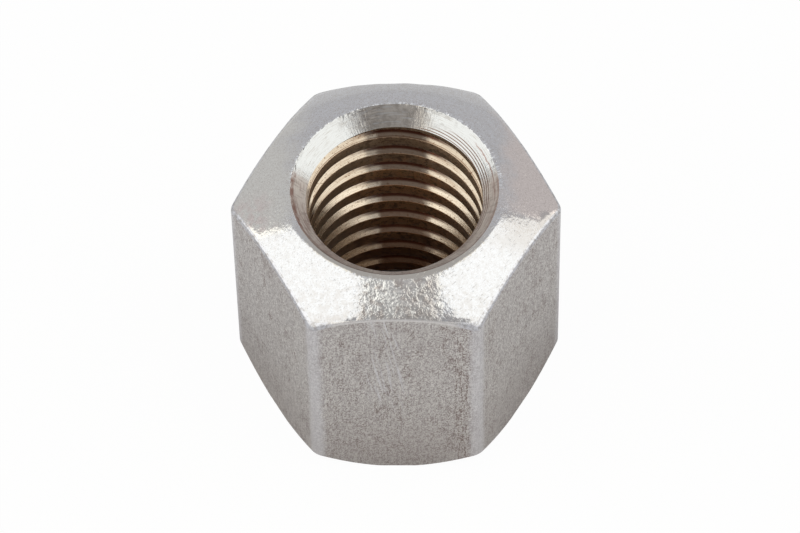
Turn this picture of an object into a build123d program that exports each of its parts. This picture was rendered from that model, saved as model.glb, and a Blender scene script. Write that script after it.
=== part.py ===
"""High hex nut, M12 x 1.75, with one spherical end.

The nut is cut from one hexagon bar. It stands on its flat seat face, which is the XY plane,
with the thread axis on +Z and the spherical end on top. All sizes are in millimetres.
"""

from math import ceil, radians, sqrt, tan
import os

from build123d import *

# Hexagon bar
across_flats = 18.0
nut_height = 18.0  # from the seat face up to the rim of the upper countersink
corner_rounding = 0.65  # radius that the drawn bar has on its six long edges

# Flat seat, turned off at the corners
seat_beyond_flats = 0.07  # how far the seat circle reaches outside the flats
seat_chamfer_angle = 45.0  # rise of the chamfer above the seat plane

# Spherical end
crown_radius = 17.0

# Thread
thread_diameter = 12.0  # across the groove roots
thread_pitch = 1.75
thread_depth = 0.55  # from the crest, which is the drilled bore, out to the root
flank_angle = 60.0  # between the two flanks of one groove

# Countersinks, one at each end of the bore
countersink_beyond_thread = 0.45  # how far the rim reaches outside the groove roots
countersink_angle = 90.0  # full angle of the cone

# Room that each cutting tool keeps past the material it removes
tool_run_out = 1.0
tool_bite = 0.25  # how far the thread tool starts inside the bore

# Values that follow from the driving sizes
seat_radius = across_flats / 2 + seat_beyond_flats
root_radius = thread_diameter / 2
bore_radius = root_radius - thread_depth
rim_radius = root_radius + countersink_beyond_thread
crown_centre = nut_height - sqrt(crown_radius**2 - rim_radius**2)
crown_top = crown_centre + crown_radius
countersink_slope = tan(radians(countersink_angle / 2))
countersink_depth = (rim_radius - bore_radius) / countersink_slope
seat_chamfer_reach = crown_top / tan(radians(seat_chamfer_angle))
root_flat = thread_pitch / 8
groove_slope = tan(radians(flank_angle / 2))

# Turned outline: the ball end, cut back below by the cone of the seat chamfer
with BuildSketch(Plane.XZ) as turned_outline:
    with BuildLine():
        Polyline(
            (0, crown_top),
            (0, crown_centre - nut_height),
            (crown_radius, crown_centre - nut_height),
            (crown_radius, crown_centre),
        )
        CenterArc((0, crown_centre), crown_radius, 0, 90)
    make_face()
    with BuildLine():
        Polyline(
            (0, 0),
            (seat_radius, 0),
            (seat_radius + seat_chamfer_reach, crown_top),
            (0, crown_top),
            close=True,
        )
    make_face(mode=Mode.INTERSECT)

# Drilled bore with its two countersinks, drawn past the seat and past the top of the ball
drill_top = crown_top + tool_run_out
with BuildSketch(Plane.XZ) as drilled_outline:
    with BuildLine():
        Polyline(
            (0, -tool_run_out),
            (rim_radius + tool_run_out * countersink_slope, -tool_run_out),
            (bore_radius, countersink_depth),
            (bore_radius, nut_height - countersink_depth),
            (rim_radius + (drill_top - nut_height) * countersink_slope, drill_top),
            (0, drill_top),
            close=True,
        )
    make_face()

# One turn of the right-hand groove: an axial section carried once round the axis
tool_radius = bore_radius - tool_bite
root_half = root_flat / 2
mouth_half = root_half + (root_radius - tool_radius) * groove_slope
with BuildPart() as groove_turn:
    with BuildLine() as groove_path:
        Helix(thread_pitch, thread_pitch, root_radius)
    with BuildSketch(Plane.XZ) as groove_section:
        with BuildLine():
            Polyline(
                (tool_radius, -mouth_half),
                (root_radius, -root_half),
                (root_radius, root_half),
                (tool_radius, mouth_half),
                close=True,
            )
        make_face()
    sweep(is_frenet=True)

# The turns follow each other from under the seat to over the rim, so the groove runs out
# in both countersinks
first_turn = -1
last_turn = ceil(nut_height / thread_pitch)
turn_heights = [turn * thread_pitch for turn in range(first_turn, last_turn + 1)]

with BuildPart() as hex_nut:
    with BuildSketch():
        RegularPolygon(across_flats / 2, side_count=6, major_radius=False)
    extrude(amount=crown_top)
    fillet(hex_nut.edges().filter_by(Axis.Z), radius=corner_rounding)
    add(turned_outline.sketch)
    revolve(axis=Axis.Z, mode=Mode.INTERSECT)
    add(drilled_outline.sketch)
    revolve(axis=Axis.Z, mode=Mode.SUBTRACT)
    with Locations(*[(0, 0, height) for height in turn_heights]):
        add(groove_turn.part, mode=Mode.SUBTRACT)

hex_nut.part.label = "hex_nut"

os.makedirs("parts", exist_ok=True)
export_step(hex_nut.part, "parts/hex_nut.step")
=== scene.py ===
"""High hex nut, M12 x 1.75, with one spherical end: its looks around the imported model.

The nut is one piece of steel, so the scene has one piece. It is modelled in millimetres in the
order in which a shop makes it: drawn hexagon bar, turned ball end and seat, countersunk bore,
tapped thread. The finished mesh is scaled to metres and stands for the plain node.
"""

import logging
from contextlib import contextmanager
from dataclasses import dataclass, field
from enum import Enum
from math import atan2, cos, hypot, inf, pi, radians, sin, sqrt, tan
from typing import Callable, ClassVar, Iterator

import bmesh
import bpy
from mathutils import Matrix, Vector

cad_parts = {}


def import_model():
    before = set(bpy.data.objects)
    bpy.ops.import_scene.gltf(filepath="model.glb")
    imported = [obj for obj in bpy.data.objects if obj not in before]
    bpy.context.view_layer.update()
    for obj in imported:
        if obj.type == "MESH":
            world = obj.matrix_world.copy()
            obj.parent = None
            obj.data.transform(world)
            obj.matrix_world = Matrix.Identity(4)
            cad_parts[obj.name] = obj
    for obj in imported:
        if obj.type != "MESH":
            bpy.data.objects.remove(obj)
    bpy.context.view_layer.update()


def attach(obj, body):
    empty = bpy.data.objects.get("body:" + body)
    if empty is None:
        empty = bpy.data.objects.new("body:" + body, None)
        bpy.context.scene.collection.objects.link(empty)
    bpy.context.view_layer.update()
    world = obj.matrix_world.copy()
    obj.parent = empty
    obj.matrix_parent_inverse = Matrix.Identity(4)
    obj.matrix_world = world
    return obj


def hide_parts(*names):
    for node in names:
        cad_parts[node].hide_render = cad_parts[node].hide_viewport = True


MM = 0.001  # metres in a millimetre
FLATS = 6
HEX_TURN = 360 / FLATS  # degrees from one flat of the bar to the next
MATRIX_SIZE = 4  # of one that can turn and move
WELD = 0.001  # points of the mesh that are nearer than this, in millimetres, become one
TOOL_RADIUS = 6.0  # about how far from the axis the tools cut, in millimetres
LAYER_SHARE = 0.6  # how strongly each finer layer of a pattern shows
LAMP_POWER = 4.0  # watts that give a square metre of area lamp a radiance of 1
log = logging.getLogger("hex_nut")

Point = tuple[float, float, float]
Profile = list[tuple[float, float]]  # (radius, height) pairs in millimetres
Colour = tuple[float, float, float, float]
Limits = tuple[float, float]  # where a zone starts, and where it is full
Border = tuple[str, float, float]  # a measure's name, where a zone starts, where it is full
Weight = tuple[str, float]  # a measure's name and how much it counts
Source = bpy.types.Node | bpy.types.NodeSocket


class Element(Enum):
    """What a selection in edit mode is made of."""

    VERT = "VERT"
    EDGE = "EDGE"
    FACE = "FACE"


class Region(Enum):
    """The differently made surfaces of the nut; the value is the material's place on the mesh."""

    FLATS = 0
    BALL_END = 1
    COUNTERSINK = 2
    THREAD = 3
    SEAT = 4
    WORN_EDGE = 5


class Run(Enum):
    """What the marks of a pattern follow; the value is the measure of that name."""

    STRAIGHT = "spot"
    WITH_TOOL = "path"


def linear(code: str) -> Colour:
    """Turns an sRGB hex value such as "#A1A2A3" to a linear colour with full alpha.

    Args:
        code: The hex value.

    Returns:
        Red, green, blue and alpha.
    """
    channels = [int(code[index : index + 2], 16) / 255 for index in (1, 3, 5)]
    red, green, blue = (
        value / 12.92 if value <= 0.04045 else ((value + 0.055) / 1.055) ** 2.4
        for value in channels
    )
    return red, green, blue, 1.0


def add_node(
    tree: bpy.types.NodeTree,
    kind: str,
    inputs: dict[str | int, object] | None = None,
    **settings: object,
) -> bpy.types.Node:
    """Adds one shader node with its settings and links.

    Args:
        tree: The node tree that gets the node.
        kind: The node's type.
        inputs: For each input, by name or index, a value or what to link to it. A node
            stands for its first output in use.
        **settings: The node's own properties.

    Returns:
        The new node.
    """
    node = tree.nodes.new(kind)
    for name, value in settings.items():
        setattr(node, name, value)
    in_use = {socket.name: socket for socket in reversed(node.inputs) if socket.enabled}
    for key, value in (inputs or {}).items():
        socket = node.inputs[key] if isinstance(key, int) else in_use[key]
        if isinstance(value, bpy.types.Node):
            value = next(output for output in value.outputs if output.enabled)
        if isinstance(value, bpy.types.NodeSocket):
            tree.links.new(value, socket)
        else:
            socket.default_value = value
    return node


def new_material(name: str) -> tuple[bpy.types.Material, bpy.types.NodeTree]:
    """Adds an empty node material.

    Args:
        name: The material's name.

    Returns:
        The material and its node tree.
    """
    material = bpy.data.materials.new(name)
    material.use_nodes = True
    material.node_tree.nodes.clear()
    return material, material.node_tree


def deselect_all() -> None:
    """Deselects every object, because an operator acts on all that is selected."""
    if bpy.context.object and bpy.context.object.mode != "OBJECT":
        bpy.ops.object.mode_set(mode="OBJECT")
    bpy.ops.object.select_all(action="DESELECT")


def make_active(piece: bpy.types.Object) -> None:
    """Makes one piece the only selected and active object.

    Args:
        piece: The object that the next operators act on.
    """
    deselect_all()
    piece.select_set(True)
    bpy.context.view_layer.objects.active = piece


@contextmanager
def editing(piece: bpy.types.Object) -> Iterator[None]:
    """Opens a piece in edit mode with nothing selected, and closes it again.

    Args:
        piece: The mesh object to edit.

    Yields:
        Nothing; the operators inside act on the piece.
    """
    make_active(piece)
    bpy.ops.object.mode_set(mode="EDIT")
    bpy.ops.mesh.select_all(action="DESELECT")
    yield
    bpy.ops.object.mode_set(mode="OBJECT")


def pick(piece: bpy.types.Object, element: Element, test: Callable[..., bool]) -> None:
    """Selects what passes a test, and nothing else, on a piece in edit mode.

    Args:
        piece: The mesh object that is open in edit mode.
        element: Whether vertices, edges or faces are picked.
        test: Says of one bmesh element whether it is picked.
    """
    bpy.ops.mesh.select_mode(type=element.value)
    bpy.ops.mesh.select_all(action="DESELECT")
    form = bmesh.from_edit_mesh(piece.data)
    items = {Element.VERT: form.verts, Element.EDGE: form.edges, Element.FACE: form.faces}[element]
    for item in [item for item in items if test(item)]:
        item.select_set(True)
    bmesh.update_edit_mesh(piece.data)


def reshape(piece: bpy.types.Object, move: Callable[[Vector], Vector]) -> None:
    """Moves the selected vertices of a piece in edit mode.

    Args:
        piece: The mesh object that is open in edit mode.
        move: Gives a vertex's new place from its old one.
    """
    form = bmesh.from_edit_mesh(piece.data)
    for vertex in form.verts:
        if vertex.select:
            vertex.co = move(vertex.co)
    bmesh.update_edit_mesh(piece.data)


def apply_modifier(piece: bpy.types.Object, kind: str, **settings: object) -> None:
    """Adds one modifier to a piece and applies it.

    Args:
        piece: The mesh object.
        kind: The modifier's type.
        **settings: The modifier's own properties.
    """
    make_active(piece)
    modifier = piece.modifiers.new(kind.lower(), kind)
    for name, value in settings.items():
        setattr(modifier, name, value)
    bpy.ops.object.modifier_apply(modifier=modifier.name)


def face_outwards() -> None:
    """Turns all faces of the piece that is open in edit mode outwards."""
    bpy.ops.mesh.select_all(action="SELECT")
    bpy.ops.mesh.normals_make_consistent(inside=False)


def draw_outline(name: str, corners: list[Point]) -> bpy.types.Object:
    """Draws an open outline: one point, which is extruded from corner to corner.

    Args:
        name: The new piece's name.
        corners: Where the outline goes.

    Returns:
        The piece, which is a line of edges.
    """
    bpy.ops.mesh.primitive_plane_add(size=1, location=corners[0])
    piece = bpy.context.object
    piece.name = name
    bpy.ops.object.transform_apply()
    with editing(piece):
        bpy.ops.mesh.select_mode(type=Element.VERT.value)
        bpy.ops.mesh.select_all(action="SELECT")
        bpy.ops.mesh.merge(type="CENTER")
        for before, after in zip(corners, corners[1:]):
            step = [end - start for start, end in zip(before, after)]
            bpy.ops.mesh.extrude_region_move(TRANSFORM_OT_translate={"value": step})
    return piece


def radius_of(place: Vector) -> float:
    """Returns a point's distance from the thread axis."""
    return hypot(place.x, place.y)


def share_between(value: float, start: float, full: float) -> float:
    """Returns how far a value is on its way from start to full, from 0 to 1."""
    return min(1.0, max(0.0, (value - start) / (full - start)))


def rotation(angle: float, axis: str) -> Matrix:
    """Returns the rotation by an angle in degrees about the axis X, Y or Z."""
    return Matrix.Rotation(radians(angle), MATRIX_SIZE, axis)


@dataclass
class ThreadPlug:
    """The shape that drill and tap leave empty: a right-hand screw of the tapped thread's form.

    Its turns come from one pitch of the outline and a Screw modifier, so the flanks are clean
    helical strips. Heights are counted from the seat; a groove crosses +X at height zero. The
    last groove runs out in a long ramp at the foot of the upper countersink, as in the photo.
    """

    crest_radius: float = 5.45
    root_radius: float = 6.0
    pitch: float = 1.75
    flank_angle: float = 60.0
    root_flat: float = 1 / 8  # of the pitch
    crest_rounding: float = 0.06
    root_rounding: float = 0.07
    rounding_steps: int = 2
    first_turn: int = -2
    turns: int = 14
    steps_per_turn: int = 192
    bottom: float = -0.5
    top: float = 18.6
    cut_exactness: float = 0.0001
    ramp: Limits = (16.62, 17.3)  # heights at which the last groove starts and ends to run out

    def outline(self) -> Profile:
        """Works out one pitch of the thread form, from mid crest to mid crest.

        Returns:
            Radius and height pairs, upwards, with the groove's centre at height zero.
        """
        root_half = self.pitch * self.root_flat / 2
        slope = tan(radians(self.flank_angle / 2))
        mouth_half = root_half + (self.root_radius - self.crest_radius) * slope
        corners = [
            (self.crest_radius, -self.pitch / 2),
            (self.crest_radius, -mouth_half),
            (self.root_radius, -root_half),
            (self.root_radius, root_half),
            (self.crest_radius, mouth_half),
            (self.crest_radius, self.pitch / 2),
        ]
        reaches = (self.crest_rounding, self.root_rounding, self.root_rounding, self.crest_rounding)
        points = [corners[0]]
        for index, reach in enumerate(reaches, start=1):
            points += self.rounded(corners[index - 1 : index + 2], reach)
        return points + [corners[-1]]

    def rounded(self, corner: Profile, reach: float) -> Profile:
        """Rounds one corner of the outline with a parabola.

        Args:
            corner: The point before, the corner itself and the point after.
            reach: How far along both sides the rounding starts.

        Returns:
            The points of the rounding.
        """
        before, middle, after = (Vector(point) for point in corner)
        start = middle + (before - middle).normalized() * reach
        end = middle + (after - middle).normalized() * reach
        points = []
        for step in range(self.rounding_steps + 1):
            share = step / self.rounding_steps
            place = start.lerp(middle, share).lerp(middle.lerp(end, share), share)
            points.append((place.x, place.y))
        return points

    def build(self) -> bpy.types.Object:
        """Models the plug as a closed mesh in millimetres.

        Returns:
            The plug, which is only a cutting tool.
        """
        foot = self.first_turn * self.pitch
        corners = [(radius, 0.0, foot + height) for radius, height in self.outline()]
        plug = draw_outline("thread_plug", corners)
        apply_modifier(
            plug,
            "SCREW",
            axis="Z",
            angle=2 * pi,
            screw_offset=self.pitch,
            iterations=self.turns,
            steps=self.steps_per_turn,
            render_steps=self.steps_per_turn,
            use_merge_vertices=False,
            use_normal_calculate=False,
        )
        with editing(plug):
            bpy.ops.mesh.select_all(action="SELECT")
            bpy.ops.mesh.remove_doubles(threshold=WELD)
            reshape(plug, self.end_groove)
            for height, outwards in ((self.bottom, -1), (self.top, 1)):
                bpy.ops.mesh.select_all(action="SELECT")
                bpy.ops.mesh.bisect(
                    plane_co=(0, 0, height),
                    plane_no=(0, 0, outwards),
                    use_fill=True,
                    clear_outer=True,
                    threshold=self.cut_exactness,
                )
            face_outwards()
        return plug

    def end_groove(self, place: Vector) -> Vector:
        """Takes a point in to the crest radius where its groove is past the ramp.

        Args:
            place: A point of the plug.

        Returns:
            The point's new place.
        """
        reach = radius_of(place)
        turn = atan2(place.y, place.x) / (2 * pi)
        centre = (round(place.z / self.pitch - turn) + turn) * self.pitch
        start, end = self.ramp
        kept = share_between(centre, end, start)
        if reach <= self.crest_radius or kept == 1:
            return place.copy()
        scale = (self.crest_radius + (reach - self.crest_radius) * kept) / reach
        return Vector((place.x * scale, place.y * scale, place.z))


@dataclass
class NutBody:
    """The nut: a length of drawn hexagon bar with a turned ball end, a turned seat and a bore.

    Sizes are in millimetres and angles in degrees. A land is the narrow flat ring between the
    ball end and the upper countersink, and a break is the rounding of a sharp edge.
    """

    across_flats: float = 18.0
    height: float = 18.0
    corner_rounding: float = 0.65
    seat_radius: float = 9.07
    crown_radius: float = 17.0
    rim_radius: float = 6.45
    pilot_radius: float = 5.0  # of the bore before the thread is cut
    land_outer: float = 6.76
    land_inner: float = 6.49
    land_drop: float = 0.085
    rim_centre: tuple[float, float] = (-0.05, 0.02)  # the countersink stood off the bore's axis
    land_inner_break: float = 0.05
    land_outer_break: float = 0.09
    lower_rim_break: float = 0.08
    rim_break_steps: int = 3
    crown_edge_steps: int = 4
    crown_edge_break: float = 0.4  # at the corners of the front and back flats
    front_edge_share: float = 0.25  # of that break, in the middle of those two flats
    side_edge_share: float = 0.5  # of that break, on the four other flats
    front_edge_half: float = 3.4
    flat_half: float = 5.1
    side_edge_start: float = 6.2  # from here outwards the side flats have their own share
    step_inner: float = 5.42
    step_width: float = 0.125
    step_count: int = 4
    step_depth: float = 0.02
    step_side: float = 35.0  # where the tool steps are deepest, backwards from the right
    step_rise: float = 0.021  # how much further out the steps lie for each millimetre backwards
    burr_height: float = 0.13
    burr_size: float = 0.1
    burr_layers: int = 2
    burr_reach: float = 0.28
    burr_depth: float = 0.6  # how far below the rim it may be
    burr_back: Limits = (-1.0, 1.0)  # backwards from the axis
    edge_wear: float = 0.06
    wear_size: float = 1.1
    wear_layers: int = 0
    wear_reach: float = 0.2
    flat_columns: int = 58
    corner_columns: int = 8
    wall_rows: int = 24
    crown_rings: int = 20
    cone_rings: int = 36
    land_rings: int = 6
    sharp_angle: float = 30.0
    crumb: float = 0.002  # edges shorter than this are left over from the tap's cut
    tolerance: float = 0.01
    near: float = 0.1  # how far off its surface a point may be that still counts to it
    level: float = 0.2  # how far off its height an edge of a ring may be
    radial_length: float = 1.0  # at least, of an edge that crosses the ball end or a cone
    land_length: float = 0.1  # at least, of an edge that crosses the land
    cap_normal: float = 0.9  # at least, up or down, of a face of the sawn ends
    wall_reach: float = 0.3  # how far inside the seat's circle the flats may be
    thread: ThreadPlug = field(default_factory=ThreadPlug)
    nut: bpy.types.Object = field(init=False)

    @property
    def side(self) -> float:
        """Length of one side of the hexagon, and its corners' distance from the axis."""
        return self.across_flats / sqrt(3)

    @property
    def crown_centre(self) -> float:
        """Height of the ball's centre above the seat."""
        return self.height - sqrt(self.crown_radius**2 - self.rim_radius**2)

    def ball_height(self, radius: float) -> float:
        """Returns the ball surface's height at a distance from the axis."""
        return self.crown_centre + sqrt(self.crown_radius**2 - radius**2)

    def onto_ball(self, place: Vector) -> Vector:
        """Returns the point of the ball straight above or below a place."""
        return Vector((place.x, place.y, self.ball_height(radius_of(place))))

    def onto_chamfer(self, place: Vector) -> Vector:
        """Returns the point of the 45 degree seat chamfer above a place, or of the seat plane."""
        return Vector((place.x, place.y, max(0.0, radius_of(place) - self.seat_radius)))

    def build(self) -> bpy.types.Object:
        """Models the nut in millimetres and brings it to metres.

        Returns:
            The finished nut, closed and with its sharp edges marked.
        """
        self.cut_bar()
        self.dress()
        self.turn_ball_end()
        self.turn_seat()
        self.join_pilot_bore()
        self.divide_surfaces()
        self.mark_regions()
        self.wear()
        self.tap()
        self.finish_mesh()
        return self.nut

    def cut_bar(self) -> None:
        """Makes the length of hexagon bar with its rounded long edges, a closed prism."""
        bpy.ops.mesh.primitive_circle_add(
            vertices=FLATS, radius=self.side, fill_type="NGON", rotation=(0, 0, pi / 2)
        )
        self.nut = bpy.context.object
        self.nut.name = "nut_body"
        bpy.ops.object.transform_apply()
        with editing(self.nut):
            bpy.ops.mesh.select_mode(type=Element.VERT.value)
            bpy.ops.mesh.select_all(action="SELECT")
            rounding = self.corner_rounding * tan(radians(HEX_TURN / 2))
            bpy.ops.mesh.bevel(offset=rounding, segments=self.corner_columns, affect="VERTICES")
            pick(self.nut, Element.EDGE, lambda edge: edge.calc_length() > self.side / 2)
            bpy.ops.mesh.subdivide(number_cuts=self.flat_columns - 1)
            pick(self.nut, Element.FACE, lambda face: True)
            rise = {"value": (0, 0, self.ball_height(self.across_flats / 2))}
            bpy.ops.mesh.extrude_region_move(TRANSFORM_OT_translate=rise)

    def dress(self) -> None:
        """Gives the nut the finish of each region, in the regions' order."""
        finishes = {
            Region.FLATS: DrawnBar(),
            Region.BALL_END: TurnedSteel(),
            Region.COUNTERSINK: CountersunkSteel(),
            Region.THREAD: TappedSteel(),
            Region.SEAT: TurnedSteel(name="turned_steel_seat"),
            Region.WORN_EDGE: WornEdge(),
        }
        for region in Region:
            self.nut.data.materials.append(finishes[region].build())

    def ring_inwards(
        self,
        radius: float,
        settle: Callable[[Vector], Vector],
        centre: tuple[float, float] = (0.0, 0.0),
    ) -> None:
        """Extrudes the selected cap and casts its edge to a circle.

        Args:
            radius: The circle's radius.
            settle: Gives a point of the circle its height.
            centre: Where the circle's centre is.
        """
        bpy.ops.mesh.extrude_region_move()

        def cast(place: Vector) -> Vector:
            """Returns the point of the circle in the direction of a place."""
            share = radius / radius_of(place)
            right, back = centre
            return settle(Vector((place.x * share + right, place.y * share + back, place.z)))

        reshape(self.nut, cast)

    def turn_ball_end(self) -> None:
        """Turns the ball end, the broken rim and the upper countersink."""
        top = self.height - self.land_drop
        bottom = top - self.land_inner + self.pilot_radius
        with editing(self.nut):
            pick(self.nut, Element.FACE, lambda face: face.normal.z > self.cap_normal)
            reshape(self.nut, self.onto_ball)
            rim = self.rim_centre
            self.ring_inwards(self.land_outer, self.onto_ball, rim)
            self.ring_inwards(self.land_inner, lambda place: Vector((*place.xy, top)), rim)
            self.ring_inwards(self.pilot_radius, lambda place: Vector((*place.xy, bottom)))
            bpy.ops.mesh.delete(type="ONLY_FACE")
            self.break_ring(self.land_inner_break, self.land_inner, top, rim)
            self.break_ring(self.land_outer_break, self.land_outer, top, rim)

    def turn_seat(self) -> None:
        """Turns the seat, its 45 degree chamfer and the lower countersink."""
        rim = self.rim_radius
        depth = rim - self.pilot_radius
        with editing(self.nut):
            pick(self.nut, Element.FACE, lambda face: face.normal.z < -self.cap_normal)
            reshape(self.nut, self.onto_chamfer)
            bpy.ops.mesh.extrude_region_move()
            reshape(self.nut, self.onto_seat_circle)
            self.ring_inwards(rim, lambda place: Vector((*place.xy, 0)))
            self.ring_inwards(self.pilot_radius, lambda place: Vector((*place.xy, depth)))
            bpy.ops.mesh.delete(type="ONLY_FACE")
            self.break_ring(self.lower_rim_break, rim, 0.0)
            bpy.ops.mesh.select_all(action="SELECT")
            bpy.ops.mesh.remove_doubles(threshold=WELD)

    def onto_seat_circle(self, place: Vector) -> Vector:
        """Returns the point of the seat's outer edge in the column of a place."""
        share = min(1.0, self.seat_radius / radius_of(place))
        return Vector((place.x * share, place.y * share, 0.0))

    def break_ring(
        self,
        reach: float,
        radius: float,
        height: float,
        centre: tuple[float, float] = (0.0, 0.0),
    ) -> None:
        """Breaks the sharp edge that lies on a circle.

        Args:
            reach: How far the break reaches to both sides.
            radius: The circle's radius.
            height: Its height above the seat, roughly.
            centre: Where the circle's centre is.
        """
        right, back = centre

        def on_ring(edge: bmesh.types.BMEdge) -> bool:
            """Says whether both ends of an edge are on the circle."""
            return all(
                abs(hypot(vertex.co.x - right, vertex.co.y - back) - radius) < self.tolerance
                and abs(vertex.co.z - height) < self.level
                for vertex in edge.verts
            )

        pick(self.nut, Element.EDGE, on_ring)
        bpy.ops.mesh.bevel(offset=reach, segments=self.rim_break_steps)

    def join_pilot_bore(self) -> None:
        """Bridges the two countersinks with a pilot bore, which the thread plug removes."""
        with editing(self.nut):
            pick(self.nut, Element.EDGE, lambda edge: edge.is_boundary)
            bpy.ops.mesh.bridge_edge_loops()
            face_outwards()

    def divide_surfaces(self) -> None:
        """Gives the surfaces their rows and rings, and breaks the edges round the flats."""
        pilot, inner, outer = self.pilot_radius, self.land_inner, self.land_outer
        long, short = self.radial_length, self.land_length
        self.break_crown_edge()
        with editing(self.nut):
            pick(self.nut, Element.EDGE, lambda edge: self.crosses(edge, outer, inf, long))
            bpy.ops.mesh.subdivide(number_cuts=self.crown_rings - 1)
            pick(self.nut, Element.VERT, self.is_open_ball)
            reshape(self.nut, self.onto_ball)
            pick(self.nut, Element.EDGE, self.is_long_wall_edge)
            bpy.ops.mesh.subdivide(number_cuts=self.wall_rows - 1)
            pick(self.nut, Element.EDGE, lambda edge: self.crosses(edge, pilot, inner, long))
            bpy.ops.mesh.subdivide(number_cuts=self.cone_rings - 1)
            pick(self.nut, Element.EDGE, lambda edge: self.crosses(edge, inner, outer, short))
            bpy.ops.mesh.subdivide(number_cuts=self.land_rings - 1)
            pick(self.nut, Element.VERT, lambda vertex: vertex.co.z > self.height / 2)
            reshape(self.nut, self.with_tool_steps)

    def break_crown_edge(self) -> None:
        """Breaks the edge between ball end and bar, most at the corners of front and back."""
        with editing(self.nut):
            form = bmesh.from_edit_mesh(self.nut.data)
            weights = form.edges.layers.float.new("bevel_weight_edge")
            for edge in form.edges:
                if self.is_crown_edge(edge):
                    side = abs(sum(vertex.co.x for vertex in edge.verts) / 2)
                    edge[weights] = self.edge_break_share(side)
            bmesh.update_edit_mesh(self.nut.data)
        apply_modifier(
            self.nut,
            "BEVEL",
            width=self.crown_edge_break,
            segments=self.crown_edge_steps,
            limit_method="WEIGHT",
            use_clamp_overlap=False,
            material=Region.WORN_EDGE.value,
        )

    def edge_break_share(self, side: float) -> float:
        """Says how much of the full break the crown's edge gets.

        Args:
            side: How far to the left or right of the axis the edge is.

        Returns:
            The share, from 0 to 1.
        """
        if side < self.flat_half:
            share = share_between(side, self.front_edge_half, self.flat_half)
            return self.front_edge_share + (1 - self.front_edge_share) * share
        share = share_between(side, self.flat_half, self.side_edge_start)
        return 1 - (1 - self.side_edge_share) * share

    def with_tool_steps(self, place: Vector) -> Vector:
        """Lowers a place of the upper countersink where the shallow steps at its foot are.

        The countersink stood a little off the bore's axis, so the steps are deepest on the
        right and fade out towards the left.

        Args:
            place: A point of the nut's upper half.

        Returns:
            The point's new place.
        """
        reach = radius_of(place) - self.step_rise * place.y
        share = (reach - self.step_inner) / self.step_width
        if not 0 < share < self.step_count:
            return place
        side = max(0.0, cos(atan2(place.y, place.x) - radians(self.step_side)))
        return place - Vector((0, 0, self.step_depth * side * (0.5 - 0.5 * cos(2 * pi * share))))

    def is_open_ball(self, vertex: bmesh.types.BMVert) -> bool:
        """Says whether a vertex is on the ball, between the land and the broken edge."""
        right, back = self.rim_centre
        reach = hypot(vertex.co.x - right, vertex.co.y - back)
        worn = any(face.material_index == Region.WORN_EDGE.value for face in vertex.link_faces)
        on_land = reach < self.land_outer + self.land_outer_break / 2
        return vertex.co.z > self.height / 2 and not worn and not on_land

    def crosses(
        self, edge: bmesh.types.BMEdge, inner: float, outer: float, length: float
    ) -> bool:
        """Says whether an edge of the upper half runs outwards between two circles.

        Args:
            edge: The edge.
            inner: Radius of the inner circle.
            outer: Radius of the outer circle.
            length: How far outwards the edge runs at least.

        Returns:
            True for an edge that crosses the ring between the circles.
        """
        if min(vertex.co.z for vertex in edge.verts) < self.height / 2:
            return False
        near, far = sorted(radius_of(vertex.co) for vertex in edge.verts)
        return near > inner - self.near and far < outer + self.near and far - near > length

    def is_crown_edge(self, edge: bmesh.types.BMEdge) -> bool:
        """Says whether an edge is where the ball meets a flat or a rounded long edge."""
        if not edge.is_manifold or edge.verts[0].co.z < self.height / 2:
            return False
        steep = [abs(face.normal.z) < self.tolerance for face in edge.link_faces]
        return steep[0] != steep[1]

    def is_long_wall_edge(self, edge: bmesh.types.BMEdge) -> bool:
        """Says whether an edge runs from the seat's end to the ball end along the bar."""
        rise = abs(edge.verts[0].co.z - edge.verts[1].co.z)
        wall = self.across_flats / 2 - self.tolerance
        outside = all(radius_of(vertex.co) > wall for vertex in edge.verts)
        return outside and rise > self.height / 2

    def mark_regions(self) -> None:
        """Gives each face to the region that its place and slope tell."""
        for face in self.nut.data.polygons:
            if face.material_index != Region.WORN_EDGE.value:
                face.material_index = self.region_of(face.center, face.normal).value

    def region_of(self, place: Vector, normal: Vector) -> Region:
        """Tells how a face is made.

        Args:
            place: The face's centre in millimetres.
            normal: Its normal.

        Returns:
            The face's region.
        """
        reach = radius_of(place)
        upper = place.z > self.height / 2
        if reach > self.seat_radius - self.wall_reach and abs(normal.z) < self.tolerance:
            return Region.FLATS
        if reach < self.pilot_radius + self.tolerance:
            return Region.THREAD
        if upper:
            rim = hypot(place.x - self.rim_centre[0], place.y - self.rim_centre[1])
            return Region.BALL_END if rim > self.land_inner else Region.COUNTERSINK
        if reach > self.rim_radius - self.lower_rim_break:
            return Region.SEAT
        return Region.COUNTERSINK

    def under_flats(self, place: Vector) -> float:
        """Returns how deep a place lies under the nearest flat, in millimetres."""
        turns = [radians((flat + 0.5) * HEX_TURN) for flat in range(FLATS)]
        reach = max(place.x * cos(turn) + place.y * sin(turn) for turn in turns)
        return self.across_flats / 2 - reach

    def burr_share(self, place: Vector) -> float:
        """Says how much of the burr stands at a place, most of it along the rim's back half.

        Args:
            place: A point of the nut.

        Returns:
            The share, from 0 to 1.
        """
        if place.z <= self.height - self.burr_depth:
            return 0.0
        off_rim = abs(radius_of(place) - self.land_inner - self.land_inner_break)
        back = share_between(place.y, *self.burr_back)
        return back * max(0.0, 1 - off_rim / self.burr_reach)

    def edge_share(self, place: Vector) -> float:
        """Says how much a place has worn with the edge between the flats and the ball end."""
        share = 1 - self.under_flats(place) / self.wear_reach
        return max(0.0, share) if self.on_ball(place) else 0.0

    def on_ball(self, place: Vector) -> bool:
        """Says whether a place is on the ball end."""
        off_ball = abs(place.z - self.ball_height(radius_of(place)))
        return place.z > self.height / 2 and off_ball < self.near

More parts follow.
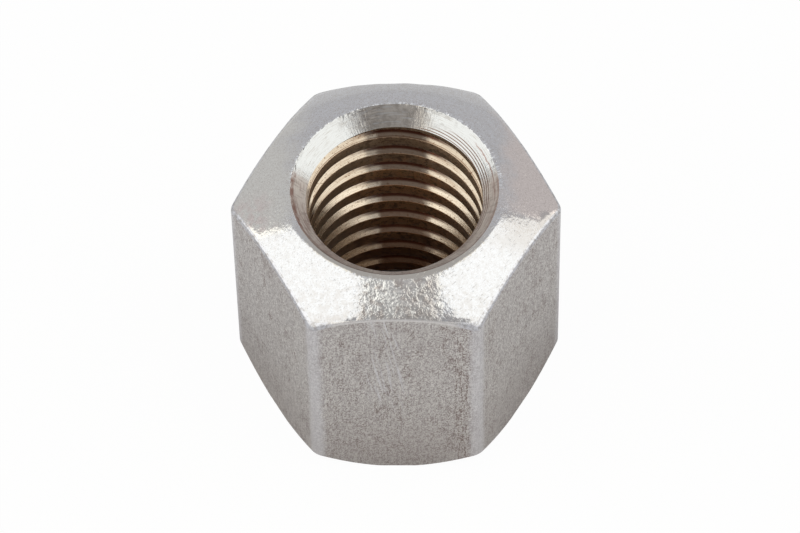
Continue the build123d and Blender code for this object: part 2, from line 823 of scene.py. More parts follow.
    def wear(self) -> None:
        """Raises the ragged burr on the rim and wears the edge round the ball end."""
        marks = (
            ("burr", self.burr_share, self.burr_height, self.burr_size, self.burr_layers),
            ("worn_edge", self.edge_share, self.edge_wear, self.wear_size, self.wear_layers),
        )
        for name, share_at, strength, size, layers in marks:
            group = self.nut.vertex_groups.new(name=name)
            for vertex in self.nut.data.vertices:
                share = share_at(vertex.co)
                if share > 0:
                    group.add([vertex.index], share, "REPLACE")
            texture = bpy.data.textures.new(name, "CLOUDS")
            texture.noise_scale = size
            texture.noise_depth = layers
            settings = {"texture": texture, "texture_coords": "LOCAL", "vertex_group": name}
            apply_modifier(self.nut, "DISPLACE", strength=strength, **settings)
        self.nut.vertex_groups.clear()

    def tap(self) -> None:
        """Cuts the bore and its thread."""
        plug = self.thread.build()
        for face in plug.data.polygons:
            face.material_index = Region.THREAD.value
        apply_modifier(self.nut, "BOOLEAN", operation="DIFFERENCE", solver="EXACT", object=plug)
        bpy.data.objects.remove(plug, do_unlink=True)

    def finish_mesh(self) -> None:
        """Cleans the mesh, brings it to metres and shades it."""
        with editing(self.nut):
            bpy.ops.mesh.select_all(action="SELECT")
            bpy.ops.mesh.remove_doubles(threshold=self.crumb)
            bpy.ops.mesh.dissolve_degenerate(threshold=self.crumb)
            face_outwards()
        self.nut.scale = (MM, MM, MM)
        make_active(self.nut)
        bpy.ops.object.transform_apply()
        bpy.ops.object.shade_smooth_by_angle(angle=radians(self.sharp_angle))


@dataclass
class Canvas:
    """A node tree and the measures that are drawn on it so far, by name.

    It starts with where the surface is on the nut, in millimetres. The measure spot is all
    three coordinates at once; right, back and up are the single ones, from the thread axis
    and the seat; reach is the distance from the axis. The measure path runs with the tool:
    round the axis in X and Y, and outwards in Z.
    """

    tree: bpy.types.NodeTree
    measures: dict[str, Source | float] = field(default_factory=dict)

    def __post_init__(self) -> None:
        """Finds where the surface is on the nut, from Object coordinates."""
        tree = self.tree
        metres = add_node(tree, "ShaderNodeTexCoord").outputs["Object"]
        spot = add_node(
            tree, "ShaderNodeMapping", {"Vector": metres, "Scale": (1 / MM, 1 / MM, 1 / MM)}
        )
        parts = add_node(tree, "ShaderNodeSeparateXYZ", {"Vector": spot}).outputs
        level = add_node(
            tree, "ShaderNodeVectorMath", {0: spot, 1: (1, 1, 0)}, operation="MULTIPLY"
        )
        reach = add_node(tree, "ShaderNodeVectorMath", {0: level}, operation="LENGTH")
        turned = add_node(tree, "ShaderNodeVectorMath", {0: level}, operation="NORMALIZE")
        outwards = add_node(tree, "ShaderNodeMath", {0: reach, 1: parts["Z"]}, operation="ADD")
        lift = add_node(tree, "ShaderNodeCombineXYZ", {"Z": outwards})
        ring = (TOOL_RADIUS, TOOL_RADIUS, TOOL_RADIUS)
        path = add_node(
            tree, "ShaderNodeVectorMath", {0: turned, 1: ring, 2: lift}, operation="MULTIPLY_ADD"
        )
        self.measures |= {"spot": spot, "reach": reach, "path": path}
        self.measures |= {"right": parts["X"], "back": parts["Y"], "up": parts["Z"]}

    def draw(self, *recipes: "Recipe") -> None:
        """Draws measures in order, so that each can build on those before it."""
        for recipe in recipes:
            self.measures[recipe.name] = recipe.draw(self)


@dataclass(frozen=True)
class Recipe:
    """How one measure of the surface is drawn; each kind of recipe has its own way.

    Attributes:
        name: What the other recipes and the stains call the measure.
    """

    name: str

    def draw(self, canvas: Canvas) -> Source | float:
        """Adds the measure's nodes.

        Args:
            canvas: The tree, with the measures that this one is made of.

        Returns:
            The measure.
        """
        raise NotImplementedError


@dataclass(frozen=True)
class Marks(Recipe):
    """One kind of mark on the steel: a cloudy pattern from 0 to 1, about a half on average.

    Attributes:
        size: Width of a mark in millimetres.
        drawn_out: How many times longer than wide a mark is along X, Y and Z.
        turn: How far the pattern is turned about X, Y and Z, in degrees.
        detail: How many finer layers lie over the first one.
        warp: How far the marks are bent, in mark widths.
        run: The coordinates that the marks follow.
    """

    size: float
    drawn_out: tuple[float, float, float] = (1.0, 1.0, 1.0)
    turn: tuple[float, float, float] = (0.0, 0.0, 0.0)
    detail: float = 3.0
    warp: float = 0.0
    run: Run = Run.STRAIGHT

    def draw(self, canvas: Canvas) -> Source:
        """Fits the coordinates to the marks and draws the pattern on them.

        Args:
            canvas: The tree, with the coordinates.

        Returns:
            The pattern.
        """
        fitted = add_node(
            canvas.tree,
            "ShaderNodeMapping",
            {
                "Vector": canvas.measures[self.run.value],
                "Rotation": [radians(angle) for angle in self.turn],
                "Scale": [self.size * times for times in self.drawn_out],
            },
            vector_type="TEXTURE",
        )
        settings = {
            "Vector": fitted,
            "Scale": 1.0,
            "Detail": self.detail,
            "Roughness": LAYER_SHARE,
            "Distortion": self.warp,
        }
        return add_node(canvas.tree, "ShaderNodeTexNoise", settings, label=self.name)


@dataclass(frozen=True)
class Sum(Recipe):
    """Measures added up, each with its weight.

    Attributes:
        parts: The name and the weight of each measure.
        plus: What is added to them.
        repeats: Whether the sum starts again at 0 at each whole number.
    """

    parts: tuple[Weight, ...] = ()
    plus: float = 0.0
    repeats: bool = False

    def draw(self, canvas: Canvas) -> Source | float:
        """Adds the measures up.

        Args:
            canvas: The tree, with the measures.

        Returns:
            The sum, which is a plain number where it has no parts.
        """
        total: Source | float = self.plus
        for name, weight in self.parts:
            terms = {0: canvas.measures[name], 1: weight, 2: total}
            total = add_node(canvas.tree, "ShaderNodeMath", terms, operation="MULTIPLY_ADD")
        if self.repeats:
            total = add_node(canvas.tree, "ShaderNodeMath", {0: total}, operation="FRACT")
        return total


@dataclass(frozen=True)
class Zone(Recipe):
    """A part of the surface with soft borders: 1 inside all of them and 0 outside any.

    Attributes:
        borders: For each border the measure, where the zone starts and where it is full.
        holds: Measures that fill the zone in place of the 1.
    """

    borders: tuple[Border, ...]
    holds: tuple[str, ...] = ()

    def draw(self, canvas: Canvas) -> Source:
        """Multiplies the shares inside the borders with what the zone holds.

        Args:
            canvas: The tree, with the measures.

        Returns:
            The zone.
        """
        factors = [canvas.measures[name] for name in self.holds]
        for name, start, full in self.borders:
            span = {"Value": canvas.measures[name], "From Min": start, "From Max": full}
            factors.append(
                add_node(canvas.tree, "ShaderNodeMapRange", span, interpolation_type="SMOOTHSTEP")
            )
        inside = factors[0]
        for factor in factors[1:]:
            inside = add_node(
                canvas.tree, "ShaderNodeMath", {0: inside, 1: factor}, operation="MULTIPLY"
            )
        return inside


@dataclass(frozen=True)
class Stain:
    """A colour over the steel: dirt, rust, oil, or where the steel itself is darker or lighter.

    Attributes:
        name: What it is on the nut.
        colour: Its hex value.
        share: How much of it covers, at most.
        borders: Where it lies; a pattern may stand for a measure.
    """

    name: str
    colour: str
    share: float
    borders: tuple[Border, ...]

    def lay_over(self, base: Source | Colour, canvas: Canvas) -> Source:
        """Lays the stain over a colour.

        Args:
            base: The colour under it.
            canvas: The tree, with the measures of the borders.

        Returns:
            The mixed colour.
        """
        zone = Zone(self.name, self.borders).draw(canvas)
        cover = add_node(
            canvas.tree, "ShaderNodeMath", {0: zone, 1: self.share}, operation="MULTIPLY"
        )
        mixed = {"Factor": cover, "A": base, "B": linear(self.colour)}
        return add_node(
            canvas.tree, "ShaderNodeMix", mixed, data_type="RGBA", label=self.name
        )


@dataclass(frozen=True)
class Steel:
    """Bare steel, which every finish of the nut is.

    It is a metal with the default IOR. Polished, worn or drawn, it mirrors the room in its own
    grey, so a softbox shows as a near-white patch and the plain room as a middle grey.

    Attributes:
        name: The material's name.
        light: Hex value of the clean steel.
        measures: Patterns, sums and zones, each after those that it is made of.
        stains: The colours over the clean steel, from the lowest to the highest.
        dents: How far the marks of each measure stand out, in millimetres.
        roughness: 0 for a mirror and 1 for chalk.
        bare: 1 for bare metal and less where a dry film of oil dulls it.
    """

    name: str
    light: str
    measures: tuple[Recipe, ...]
    stains: tuple[Stain, ...]
    dents: tuple[Weight, ...]
    roughness: Sum
    bare: Sum = Sum("bare", plus=1.0)

    def build(self) -> bpy.types.Material:
        """Builds the material.

        Returns:
            The material, with all that the finish says in its nodes.
        """
        material, tree = new_material(self.name)
        canvas = Canvas(tree)
        canvas.draw(*self.measures, Sum("dents", self.dents), self.roughness, self.bare)
        colour: Source | Colour = linear(self.light)
        for stain in self.stains:
            colour = stain.lay_over(colour, canvas)
        heights = canvas.measures["dents"]
        inputs = {
            "Base Color": colour,
            "Metallic": canvas.measures["bare"],
            "Roughness": canvas.measures["roughness"],
            "Normal": add_node(tree, "ShaderNodeBump", {"Height": heights, "Distance": MM}),
        }
        shader = add_node(tree, "ShaderNodeBsdfPrincipled", inputs)
        add_node(tree, "ShaderNodeOutputMaterial", {"Surface": shader})
        return material


@dataclass(frozen=True)
class DrawnBar(Steel):
    """Cold-drawn steel bar: satin, with fine brown specks drawn out along the bar.

    The die leaves a grain of about 0.03 mm, which is drawn here at 0.075 mm to show at all.
    The rounded long edges carry a painted highlight: a lighter, bluer band along each.
    """

    speck: ClassVar[str] = "#7A6A66"
    # Pale bluish steel: the light drag marks, and the painted highlight on the rounded long edges.
    edge: ClassVar[str] = "#CFCED4"
    on_front: ClassVar[Border] = ("back", -8.7, -8.9)
    name: str = "cold_drawn_steel_bar"
    light: str = "#CDCAC8"
    measures: tuple[Recipe, ...] = (
        Marks("grain", size=0.075, drawn_out=(1, 1, 1.6), warp=0.6),
        Marks("mottle", size=0.17, drawn_out=(1, 1, 1.7), turn=(0, 10, 0), warp=0.8),
        Marks("streak", size=0.13, drawn_out=(1, 1, 16), detail=2),
        Marks("cloud", size=0.9, drawn_out=(1, 1, 2), warp=0.5),
        Marks("ragged", size=0.35, drawn_out=(1, 1, 2)),
        Marks("drag", size=0.16, drawn_out=(1, 1, 24), turn=(0, -8.6, 0)),
        Sum("texture", (("grain", 0.57), ("mottle", 0.33), ("streak", 0.1))),
        Sum("dirt", (("texture", 0.6), ("cloud", 0.4))),
        # worn is only the distance from the axis with a ragged border; it places the painted
        # highlight on the rounded long edges.
        Sum("worn", (("reach", 1.0), ("ragged", 0.24))),
    )
    stains: tuple[Stain, ...] = (
        Stain("dark grain", "#91898A", 1.0, (("texture", 0.4, 0.6),)),
        Stain("brown specks", speck, 0.7, (("dirt", 0.5, 0.64),)),
        # Painted shade: the flats darker towards the foot, where they mirror the floor in the nut's
        # own shadow.
        Stain("painted shade towards the foot", "#8F8584", 0.35, (("up", 9.0, 0.5),)),
        Stain(
            "upright band of specks", speck, 0.8,
            (
                ("texture", 0.46, 0.56), ("streak", 0.4, 0.6), ("right", 3.5, 3.8),
                ("right", 5.2, 4.9), on_front,
            ),
        ),
        Stain(
            "light drag marks", edge, 0.6,
            (
                ("drag", 0.52, 0.66), ("right", -2.2, -1.4), ("right", 0.9, 0.2), ("up", 5.0, 8.0),
                on_front,
            ),
        ),
        # Painted highlight along the rounded long edges.
        Stain("painted highlight on the long edges", edge, 0.5, (("worn", 10.12, 10.36),)),
    )
    dents: tuple[Weight, ...] = (("texture", 0.007),)
    roughness: Sum = Sum("roughness", (("cloud", 0.25), ("grain", 0.1)), plus=0.25)


@dataclass(frozen=True)
class WornEdge(Steel):
    """The edge between flats and ball end, rubbed smooth by other steel; its bright line over
    the front flat is a painted highlight.
    """

    name: str = "worn_steel_edge"
    light: str = "#BFBFC5"
    measures: tuple[Recipe, ...] = (
        Marks("rub", size=0.25),
        Sum("ragged_back", (("back", 1.0), ("rub", -0.3))),
    )
    stains: tuple[Stain, ...] = (
        Stain("rubbed spots", "#A19E9F", 1.0, (("rub", 0.42, 0.66),)),
        # Painted highlight: a bright line along the edge over the front flat.
        Stain(
            "painted highlight line over the front flat", "#D0CCCA", 0.8,
            (("ragged_back", -8.9, -9.02), ("right", -4.4, -3.4), ("right", 4.4, 3.4)),
        ),
    )
    dents: tuple[Weight, ...] = (("rub", 0.012),)
    roughness: Sum = Sum("roughness", plus=0.25)


@dataclass(frozen=True)
class TurnedSteel(Steel):
    """Steel turned on a lathe, then nicked by other nuts in the drum.

    The turned face is bright enough to mirror the softboxes as white patches. Its waves and
    fine grain fray their borders, and the nicks glint where the face mirrors the darker front.
    The glints on the burrs at the back of the rim are painted, and so is the shade at the end
    of the right white patch and at the right corner.
    """

    dark: ClassVar[str] = "#ADA9A8"
    warm: ClassVar[str] = "#CDC4C2"
    soiled: ClassVar[str] = "#A39B97"
    in_grain: ClassVar[Border] = ("grain", 0.4, 0.75)
    in_front: ClassVar[Border] = ("front", 0.0, 1.0)
    few_nicks: ClassVar[float] = 0.04  # how often one lies off the struck front
    to_edge: ClassVar[float] = radians(HEX_TURN / 2)
    name: str = "turned_steel_ball_end"
    light: str = "#C1C2C7"
    measures: tuple[Recipe, ...] = (
        Marks("grain", size=0.09, warp=0.4),
        Marks("wave", size=0.34, detail=2),
        Marks("dimple", size=0.27, drawn_out=(1, 2, 1), turn=(0, 0, 12), warp=0.4),
        Marks("cluster", size=0.8),
        Marks("tick", size=0.09, drawn_out=(1, 1, 5), detail=2, run=Run.WITH_TOOL),
        Marks("ragged", size=0.22),
        Marks("cloud", size=1.6),
        Marks("soil", size=0.5),
        Marks("nick", size=0.17, drawn_out=(1, 3, 1), turn=(0, 0, 20), detail=1),
        Marks("left_nick", size=0.15, drawn_out=(1, 3, 1), turn=(0, 0, -24), detail=1),
        Marks("cross_nick", size=0.13, drawn_out=(1, 3, 1), turn=(0, 0, 70), detail=1),
        Marks("score", size=0.05, drawn_out=(1, 14, 1), turn=(0, 0, 137), detail=1),
        Zone("scratch", (("score", 0.66, 0.75),)),
        Sum("aside", (("right", 1.0), ("soil", 2.4))),
        Sum("onwards", (("back", 1.0), ("soil", 1.6))),
        Zone("front", (("onwards", -4.6, -5.4), ("aside", -1.2, -0.2), ("aside", 4.4, 3.4))),
        Sum("spread", (("right", 1.0), ("cloud", 3.0))),
        Sum("rim", (("reach", 1.0), ("ragged", 0.5))),
        Sum("to_right_edge", (("right", cos(to_edge)), ("back", -sin(to_edge)))),
        Sum("burr", (("reach", 1.0), ("tick", -0.4))),
        Zone("open_ball", (("reach", 6.7, 6.9),)),
        Zone("nick_spots", (("nick", 0.63, 0.74),)),
        Zone("left_nick_spots", (("left_nick", 0.65, 0.76),)),
        Zone("cross_nick_spots", (("cross_nick", 0.66, 0.76),)),
        Sum("nicks", (("nick_spots", 1.0), ("left_nick_spots", 1.0), ("cross_nick_spots", 1.0))),
        Sum("how_often", (("front", 1 - few_nicks),), plus=few_nicks),
        Zone("nicks_on_ball", (), holds=("nicks", "how_often", "open_ball")),
        Zone(
            "dimples",
            (in_front, ("open_ball", 0.0, 1.0), ("cluster", 0.36, 0.66)),
            holds=("dimple",),
        ),
    )
    stains: tuple[Stain, ...] = (
        Stain("fine grain", dark, 0.5, (in_grain,)),
        Stain("dull waves", dark, 0.3, (("wave", 0.4, 0.7),)),
        Stain("pale left", "#CFCECB", 1.0, (("spread", -3.6, -6.0), ("back", -3.2, -2.6))),
        Stain("warm right", warm, 1.0, (("spread", 7.4, 9.4), ("back", -1.9, -1.3))),
        Stain(
            "warm patches on the left", warm, 1.0,
            (
                ("spread", -5.6, -7.2), ("back", 0.8, -0.8), ("back", -3.2, -2.6),
                ("soil", 0.35, 0.6),
            ),
        ),
        # Painted shade: it darkens the end of the right white patch, which is the right softbox's
        # reflection.
        Stain(
            "painted shade at the end of the right white patch", dark, 0.6,
            (("spread", 7.0, 9.0), ("back", -4.6, -3.4), ("back", -1.3, -1.9)),
        ),
        Stain("grain behind the white patches", soiled, 0.6, (in_grain, ("back", -3.6, -2.4))),
        # Painted shade on the ball near the edge of the right front flat, at the right corner.
        Stain(
            "painted shade at the right corner", dark, 0.9,
            (("to_right_edge", 8.1, 8.5), ("right", 8.7, 9.1), ("back", -0.5, -0.9)),
        ),
        Stain("scratches", dark, 0.6, (("scratch", 0.0, 1.0),)),
        Stain("struck front", "#C8C7C6", 1.0, (in_front,)),
        Stain("soil on the struck front", soiled, 0.8, (in_front, ("soil", 0.5, 0.66))),
        Stain(
            "soil right of its middle", soiled, 0.5,
            (in_front, ("right", -0.5, 1.5), ("soil", 0.3, 0.5)),
        ),
        Stain("dull waves in front", dark, 0.25, (("back", -6.4, -7.4), ("wave", 0.4, 0.6))),
        Stain("soil at the front edge", soiled, 0.3, (("back", -8.1, -8.8), ("soil", 0.35, 0.6))),
        Stain("broken rim in front", "#B1ADA8", 1.0, (("rim", 7.08, 6.98), ("back", -2.0, -5.0))),
        # Painted glints: the burr flakes at the back of the rim in a light colour, as if they
        # mirrored the softboxes.
        Stain(
            "painted glints on the burrs at the back of the rim", "#E4E6EA", 0.75,
            (("tick", 0.5, 0.6), ("burr", 6.45, 6.36), ("back", -0.5, 1.0)),
        ),
    )
    dents: tuple[Weight, ...] = (
        ("grain", 0.001),
        ("wave", 0.008),
        ("nicks_on_ball", 0.03),
        ("dimples", 0.062),
        ("scratch", -0.006),
    )
    roughness: Sum = Sum("roughness", plus=0.08)


@dataclass(frozen=True)
class CountersunkSteel(Steel):
    """A cone cut with a countersink.

    The cutter leaves fine rings and, where it chattered, short radial facets, which catch the
    light as a row of streaks; their shade at the back is painted. Its front half is dull and brown
    with dried cutting oil, and thin brown lines lie in the steps at the foot of the cone, on the
    right.
    """

    rust: ClassVar[str] = "#80625A"
    # Dark grey brown: painted shade on the facets and in front, and the dark smears, the oil in the
    # chatter marks and the line under the rim.
    shade: ClassVar[str] = "#6E6661"
    in_oil: ClassVar[Border] = ("oil", 0.4, 1.0)
    line_start: ClassVar[float] = 5.39  # radius of the innermost line
    line_spacing: ClassVar[float] = 0.125
    line_rise: ClassVar[float] = 0.021  # how much further out for each millimetre backwards
    line_lag: ClassVar[float] = 0.75  # how much further right each line starts
    gloss: ClassVar[float] = 0.14
    film: ClassVar[float] = 0.6  # of the metal, where the oil is thickest
    name: str = "countersunk_steel"
    light: str = "#B6B7B9"
    measures: tuple[Recipe, ...] = (
        Marks("ring", size=0.05, drawn_out=(14, 14, 1), warp=0.3, run=Run.WITH_TOOL),
        Marks("chatter", size=0.14, drawn_out=(1, 1, 8), detail=2, run=Run.WITH_TOOL),
        Marks("facet", size=0.5, drawn_out=(1, 1, 1.5), warp=0.5, run=Run.WITH_TOOL),
        Marks("smear", size=0.14, drawn_out=(8, 8, 1), turn=(4, 0, 0), run=Run.WITH_TOOL),
        Marks("grain", size=0.09, warp=0.5),
        Marks("ragged", size=0.5),
        Sum("forwards", (("back", -1.0), ("chatter", 1.0))),
        Zone("oil", (("forwards", -1.5, 0.0),)),
        Sum("edge", (("reach", 1.0), ("ragged", 0.2))),
        Sum(
            "step",
            (("reach", 1 / line_spacing), ("back", -line_rise / line_spacing)),
            plus=-line_start / line_spacing,
        ),
        Sum("across_step", (("step", 1.0),), repeats=True),
        Sum("line_end", (("right", 1.0), ("step", -line_lag))),
        Zone(
            "lines",
            (
                ("across_step", 0.0, 0.1),
                ("across_step", 0.42, 0.3),
                ("step", 3.6, 3.4),
                ("line_end", 0.4, 2.0),
            ),
        ),
    )
    stains: tuple[Stain, ...] = (
        Stain("fine rings", "#948E8A", 1.0, (("ring", 0.48, 0.8),)),
        Stain(
            "warm middle of the back", "#ADA49B", 0.7,
            (("right", -3.0, -1.5), ("right", 2.6, 1.4), ("back", 4.6, 5.4)),
        ),
        # Painted shade on the chatter facets at the back.
        Stain("painted shade on the facets", shade, 0.4, (("facet", 0.42, 0.66), ("back", 4.4, 5.6))),
        Stain(
            "dark smears left of the middle", shade, 0.5,
            (
                ("smear", 0.4, 0.55), ("right", -3.3, -2.0), ("right", -0.4, -1.2),
                ("back", 4.8, 5.3),
            ),
        ),
        # Painted shade on one facet at the back, with a sharp border to the lighter right.
        Stain(
            "painted shade on a facet with a sharp right side", shade, 0.15,
            (("right", -1.6, -0.4), ("right", 1.16, 1.1), ("back", 5.0, 5.2), ("reach", 6.3, 6.1)),
        ),
        Stain("dried oil", "#C8BDB6", 0.8, (("oil", 0.0, 1.0),)),
        Stain("oil in the chatter marks", shade, 0.4, (in_oil, ("chatter", 0.5, 0.66))),
        Stain("light smears", light, 0.5, (("smear", 0.54, 0.64), ("back", 4.4, 5.4))),
        Stain("shade in front", shade, 0.2, (("back", -4.6, -5.6),)),
        Stain(
            "rust on the left", rust, 0.55,
            (("right", -1.5, -3.5), ("back", 0.0, -2.0), ("smear", 0.35, 0.6)),
        ),
        Stain(
            "bright rings on the left", light, 0.7,
            (("ring", 0.6, 0.7), ("right", -1.5, -2.5), ("back", -1.5, -2.5)),
        ),
        Stain("rust in the oil", rust, 0.4, (in_oil, ("smear", 0.45, 0.6))),
        Stain(
            "rust ring under the rim", rust, 0.5,
            (in_oil, ("edge", 6.36, 6.44), ("edge", 6.56, 6.5)),
        ),
        Stain("dark line under the rim", shade, 0.6, (("back", -3.0, -5.0), ("edge", 6.42, 6.48))),
        Stain(
            "rust at the left rim", rust, 0.9,
            (
                ("edge", 6.38, 6.44), ("back", 1.5, 1.0), ("back", -4.2, -2.2),
                ("right", -4.2, -4.8), ("ragged", 0.4, 0.5),
            ),
        ),
        Stain(
            "rust line on the right", rust, 0.75,
            (
                ("edge", 6.2, 6.23), ("edge", 6.29, 6.26), ("back", 4.0, 3.2), ("back", -1.2, 0.0),
                ("right", 4.5, 5.0),
            ),
        ),
        Stain("brown lines in the steps", "#66493B", 0.9, (("lines", 0.0, 1.0),)),
    )
    dents: tuple[Weight, ...] = (("ring", 0.006), ("chatter", 0.013), ("grain", 0.006))
    roughness: Sum = Sum("roughness", (("oil", 0.36), ("lines", 0.2)), plus=gloss)
    bare: Sum = Sum("bare", (("oil", -film),), plus=1.0)


@dataclass(frozen=True)
class TappedSteel(Steel):
    """Tapped thread, brown with old cutting oil, darkest on the drilled crests.

    The shade in the middle of the back wall and in the roots is painted, and so is the light
    deep in the bore.
    """

    # Dark red brown: rust, and in the roots also painted shade.
    root: ClassVar[str] = "#331107"
    oil: ClassVar[str] = "#5A3008"
    speckle: ClassVar[str] = "#55351F"
    gloss: ClassVar[float] = 0.08
    film: ClassVar[float] = 0.35  # of the metal, on the crests
    on_crest: ClassVar[Border] = ("crest", 0.0, 1.0)
    back_wall: ClassVar[tuple[Border, ...]] = (("across", -4.0, -1.0), ("across", 5.5, 3.0))
    # The middle of the back wall, which mirrors the gap between the softboxes.
    middle: ClassVar[tuple[Border, ...]] = (
        ("across", -0.8, -0.3),
        ("across", 2.9, 2.1),
        ("back", 1.0, 3.0),
    )
    name: str = "tapped_steel_thread"
    light: str = "#B8AD9F"
    measures: tuple[Recipe, ...] = (
        Marks("line", size=0.09, drawn_out=(16, 16, 1), run=Run.WITH_TOOL),
        Marks("blotch", size=0.7, detail=4),
        Marks("speck", size=0.11, warp=0.5),
        Marks("rusting", size=0.3, drawn_out=(1.5, 1.5, 1), warp=0.6, run=Run.WITH_TOOL),
        Sum("depth", (("up", 1.0), ("blotch", 6.0))),
        Sum("across", (("right", 1.0), ("blotch", 1.2))),
        Zone("crest", (("reach", 5.5, 5.47),)),
        Zone("low", (("up", 13.5, 8.0),)),
    )
    stains: tuple[Stain, ...] = (
        Stain("the tap's lines", "#9C8B7A", 1.0, (("line", 0.35, 0.7),)),
        # Painted light: the flanks lighter deep in the bore, where they catch light from above.
        Stain("painted light deep in the bore", "#E6D8C6", 0.4, (("low", 0.0, 1.0),)),
        # Painted shade: the flanks darker where they mirror the gap between the softboxes.
        Stain("painted shade in the middle", "#5C4A3E", 0.8, middle),
        Stain("oil in the middle", oil, 0.5, (("depth", 17.0, 5.0), *middle)),
        Stain("drilled crests", "#A0846A", 0.8, (on_crest,)),
        Stain("gleam on them", "#BC8B61", 0.9, (on_crest, ("depth", 17.5, 14.0), *back_wall)),
        Stain("oil on them", oil, 0.45, (on_crest, ("depth", 16.0, 5.0))),
        Stain("thick oil low on them", oil, 0.8, (on_crest, ("depth", 9.0, 6.0), *back_wall)),
        # Rust and painted shade: the roots of the groove are rusty and lie in shadow.
        Stain(
            "rust and painted shade in the roots", root, 0.95,
            (("reach", 5.66, 5.8), ("across", -3.0, -0.5), ("across", 5.0, 2.8)),
        ),
        Stain(
            "rust on the crests", root, 0.5,
            (on_crest, ("rusting", 0.5, 0.6), ("across", -3.5, -1.0), ("across", 5.0, 3.0)),
        ),
        Stain("specks", speckle, 0.8, (("speck", 0.58, 0.66),)),
        Stain(
            "dark line along the uppermost flanks", speckle, 0.8,
            (("reach", 5.5, 5.515), ("reach", 5.55, 5.535), ("up", 15.0, 15.4)),
        ),
    )
    dents: tuple[Weight, ...] = (("line", 0.003),)
    roughness: Sum = Sum(
        "roughness", (("crest", 0.25), ("blotch", 0.06), ("low", 0.1)), plus=gloss
    )
    bare: Sum = Sum("bare", (("crest", -film),), plus=1.0)


@dataclass(frozen=True)
class Softbox:
    """One softbox beside the nut.

    Attributes:
        name: The lamp's name.
        side: -1 on the left and 1 on the right.
        width: Its width in metres.
        height: Its height in metres.
        forward: How far behind the nut its middle is, negative in front of it.
        lean: How far its top leans backwards, in degrees.
        radiance: Its light, on top of the room's white, which shows through a lamp.
    """

    name: str
    side: int
    width: float
    height: float
    forward: float
    lean: float
    radiance: float


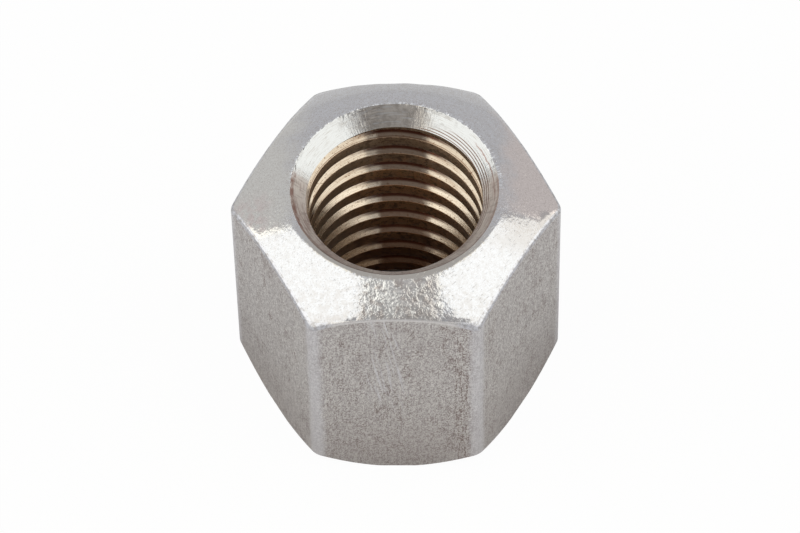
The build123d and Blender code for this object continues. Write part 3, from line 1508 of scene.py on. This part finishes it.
@dataclass
class Studio:
    """A pale floor, two large softboxes beside the nut and a camera above its front."""

    floor_size: float = 6.0
    paper_colour: str = "#F2F2F2"
    white_share: float = 0.96
    mirrored_share: float = 0.5
    open_floor: Limits = (7.0, 8.5)
    mirrored_floor: Limits = (7.0, 24.0)
    lamp_colour: tuple[float, float, float] = (1.0, 1.0, 0.9)
    lamp_side: float = 0.5
    lamp_foot: float = 0.03
    lamps: tuple[Softbox, ...] = (
        Softbox(
            "softbox_left", side=-1, width=1.06, height=2.05, forward=-0.29, lean=3, radiance=0.85
        ),
        Softbox(
            "softbox_right", side=1, width=0.82, height=1.65, forward=-0.122, lean=2, radiance=0.84
        ),
    )
    fill_strength: float = 0.48
    room_in_steel: float = 0.8
    card_colour: str = "#CFCFCE"
    card_height: float = 1.0
    card_outline: tuple[tuple[float, float], ...] = (  # right and back, in metres
        (-0.24, -0.3),
        (-0.24, -0.385),
        (-1.3, -2.08),
        (1.9, -2.01),
        (0.3, -0.317),
        (0.3, -0.3),
    )
    focal_length: float = 229.1
    sensor_width: float = 36.0
    elevation: float = 55.78
    azimuth: float = 1.56
    roll: float = -1.30
    distance: float = 0.3226
    aim_height: float = 0.009
    aim_right: float = 0.000177
    aim_up: float = 0.00019

    def build(self) -> None:
        """Sets up floor, lamps, surroundings and camera."""
        self.lay_floor()
        self.hang_lamps()
        self.hang_card()
        self.light_room()
        self.place_camera()
        bpy.context.scene.view_settings.view_transform = "Standard"

    def lay_floor(self) -> None:
        """Lays the pale floor, which shows the nut's soft shadow on near white.

        The camera sees it almost white. The steel mirrors it a little darker, and darkest at
        the nut's foot and under the bore, where it is plain paper in the nut's own shadow.
        """
        bpy.ops.mesh.primitive_plane_add(size=self.floor_size, location=(0, 0, 0))
        floor = bpy.context.object
        floor.name = "floor"
        material, tree = new_material("white_paper_floor")
        canvas = Canvas(tree)
        rays = add_node(tree, "ShaderNodeLightPath").outputs
        canvas.measures |= {"camera": rays["Is Camera Ray"], "gloss": rays["Is Glossy Ray"]}
        canvas.draw(
            Zone("seen", (("reach", *self.open_floor),), holds=("camera",)),
            Zone("mirrored", (("reach", *self.mirrored_floor),), holds=("gloss",)),
            Sum("white", (("seen", self.white_share), ("mirrored", self.mirrored_share))),
        )
        paper = add_node(tree, "ShaderNodeBsdfDiffuse", {"Color": linear(self.paper_colour)})
        white = add_node(tree, "ShaderNodeEmission", {"Strength": 1.0})
        shaders = {0: canvas.measures["white"], 1: paper, 2: white}
        both = add_node(tree, "ShaderNodeMixShader", shaders)
        add_node(tree, "ShaderNodeOutputMaterial", {"Surface": both})
        floor.data.materials.append(material)

    def hang_lamps(self) -> None:
        """Hangs one softbox on each side, facing the nut."""
        for box in self.lamps:
            lamp = bpy.data.lights.new(box.name, "AREA")
            lamp.shape = "RECTANGLE"
            lamp.color = self.lamp_colour
            lamp.size = box.width
            lamp.size_y = box.height
            lamp.energy = LAMP_POWER * box.radiance * box.width * box.height
            holder = bpy.data.objects.new(box.name, lamp)
            middle = self.lamp_foot + box.height / 2
            place = Vector((box.side * self.lamp_side, box.forward, middle))
            lean = rotation(-box.lean, "X")
            facing = rotation(90 * box.side, "Z") @ rotation(90, "X")
            holder.matrix_world = Matrix.Translation(place) @ lean @ facing
            bpy.context.scene.collection.objects.link(holder)

    def hang_card(self) -> None:
        """Hangs a grey card over the front, between the lamps, which only the gloss sees."""
        corners = [(right, back, self.card_height) for right, back in self.card_outline]
        card = draw_outline("grey_card", corners)
        with editing(card):
            bpy.ops.mesh.select_all(action="SELECT")
            bpy.ops.mesh.edge_face_add()
        material, tree = new_material("grey_card")
        grey = add_node(tree, "ShaderNodeEmission", {"Color": linear(self.card_colour)})
        add_node(tree, "ShaderNodeOutputMaterial", {"Surface": grey})
        card.data.materials.append(material)
        card.visible_camera = False
        card.visible_diffuse = False
        card.visible_shadow = False

    def light_room(self) -> None:
        """Lights the room: soft fill light, white behind the nut and pale grey in the steel."""
        world = bpy.data.worlds.new("pale_room")
        world.use_nodes = True
        tree = world.node_tree
        tree.nodes.clear()
        path = add_node(tree, "ShaderNodeLightPath").outputs
        levels = (
            ("Is Glossy Ray", self.room_in_steel),
            ("Is Transmission Ray", self.room_in_steel),
            ("Is Camera Ray", 1.0),
        )
        strength: Source | float = self.fill_strength
        for ray, level in levels:
            strength = add_node(
                tree, "ShaderNodeMix", {"Factor": path[ray], "A": strength, "B": level}
            )
        white = linear("#FFFFFF")
        back = add_node(tree, "ShaderNodeBackground", {"Color": white, "Strength": strength})
        add_node(tree, "ShaderNodeOutputWorld", {"Surface": back})
        bpy.context.scene.world = world

    def place_camera(self) -> None:
        """Places the camera where the photographer's stood."""
        camera = bpy.data.cameras.new("camera")
        camera.lens = self.focal_length
        camera.sensor_width = self.sensor_width
        holder = bpy.data.objects.new("camera", camera)
        tilt = rotation(90 - self.elevation, "X")
        turn = rotation(self.azimuth, "Z") @ tilt @ rotation(self.roll, "Z")
        aim = Vector((0, 0, self.aim_height))
        aim += turn @ Vector((self.aim_right, self.aim_up, self.distance))
        holder.matrix_world = Matrix.Translation(aim) @ turn
        bpy.context.scene.collection.objects.link(holder)
        bpy.context.scene.camera = holder


def main() -> None:
    """Builds the nut and the studio round it, and logs the nut's face count."""
    logging.basicConfig(level=logging.INFO, format="%(message)s")
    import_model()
    deselect_all()
    nut = NutBody().build()
    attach(nut, "root")
    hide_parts("hex_nut")
    log.info("%s: %d faces, rides on root, stands for hex_nut", nut.name, len(nut.data.polygons))
    Studio().build()


if __name__ == "__main__":
    main()
